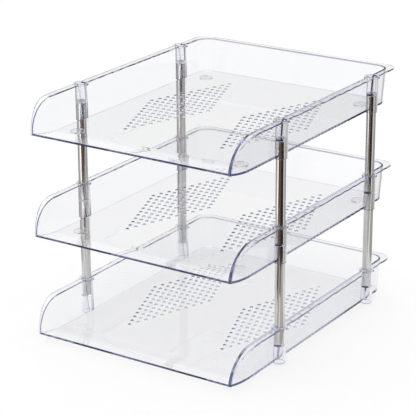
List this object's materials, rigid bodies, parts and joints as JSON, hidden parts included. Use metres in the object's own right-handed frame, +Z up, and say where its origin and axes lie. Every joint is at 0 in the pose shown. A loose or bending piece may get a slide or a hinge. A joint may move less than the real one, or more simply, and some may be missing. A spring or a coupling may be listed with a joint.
{
  "type": "three-tier document rack",
  "caption": "Desk rack of clear open-front paper trays with swept side walls and perforated floors, stacked on bright steel posts that plug into clear sockets.",
  "frame": {"origin": "centre of the overall box on the surface that the rack stands on", "axes": "+Z up, -Y towards the open front, +X to the right as seen from the front"},
  "size_m": [0.267, 0.332, 0.266],
  "materials": {
    "clear_tray": "clear polished",
    "clear_socket": "clear polished",
    "chrome_post": "bright polished",
    "clear_pad": "clear soft"
  },
  "bodies": {
    "bottom_tier": {"bottom_tray": "clear_tray", "bottom_front_left_socket": "clear_socket", "bottom_front_right_socket": "clear_socket", "bottom_back_left_socket": "clear_socket", "bottom_back_right_socket": "clear_socket", "bottom_front_left_pad": "clear_pad", "bottom_front_right_pad": "clear_pad", "bottom_back_left_pad": "clear_pad", "bottom_back_right_pad": "clear_pad", "bottom_front_left_post": "chrome_post", "bottom_front_right_post": "chrome_post", "bottom_back_left_post": "chrome_post", "bottom_back_right_post": "chrome_post"},
    "middle_tier": {"middle_tray": "clear_tray", "middle_front_left_socket": "clear_socket", "middle_front_right_socket": "clear_socket", "middle_back_left_socket": "clear_socket", "middle_back_right_socket": "clear_socket", "middle_front_left_pad": "clear_pad", "middle_front_right_pad": "clear_pad", "middle_back_left_pad": "clear_pad", "middle_back_right_pad": "clear_pad", "middle_front_left_post": "chrome_post", "middle_front_right_post": "chrome_post", "middle_back_left_post": "chrome_post", "middle_back_right_post": "chrome_post"},
    "top_tier": {"top_tray": "clear_tray", "top_front_left_socket": "clear_socket", "top_front_right_socket": "clear_socket", "top_back_left_socket": "clear_socket", "top_back_right_socket": "clear_socket", "top_front_left_pad": "clear_pad", "top_front_right_pad": "clear_pad", "top_back_left_pad": "clear_pad", "top_back_right_pad": "clear_pad"}
  },
  "joints": [
    {"name": "middle_tier_lift", "type": "slide", "parent": "bottom_tier", "child": "middle_tier", "axis": [0, 0, 1], "range_m": [0, 0.04]},
    {"name": "top_tier_lift", "type": "slide", "parent": "middle_tier", "child": "top_tier", "axis": [0, 0, 1], "range_m": [0, 0.04]}
  ]
}
